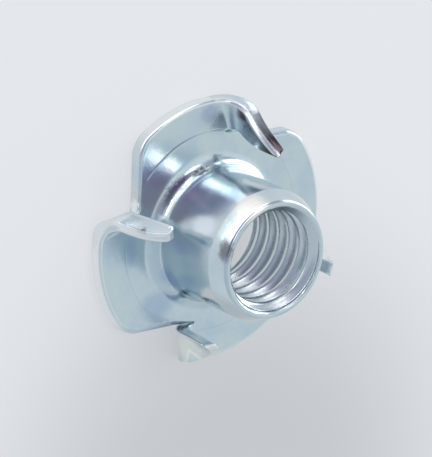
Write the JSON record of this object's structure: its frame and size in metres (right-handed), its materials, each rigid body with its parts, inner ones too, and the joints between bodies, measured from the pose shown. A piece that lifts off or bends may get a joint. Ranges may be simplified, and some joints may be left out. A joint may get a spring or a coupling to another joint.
{
  "type": "tee nut",
  "caption": "Drawn sheet-steel tee nut: a threaded barrel on a round flange, with sheared prongs folded up to bite into wood.",
  "frame": {"origin": "on the thread's axis, at the flange's back face, which is the face it stands on", "axes": "+Z along the barrel, towards its mouth; one prong rises on the +X side, beside an edge sheared parallel to the Y axis"},
  "size_m": [0.025, 0.025, 0.011],
  "materials": {
    "bright_zinc": "bright zinc plating with a pale blue passivation"
  },
  "bodies": {
    "root": {"tee_nut": "bright_zinc"}
  },
  "joints": []
}
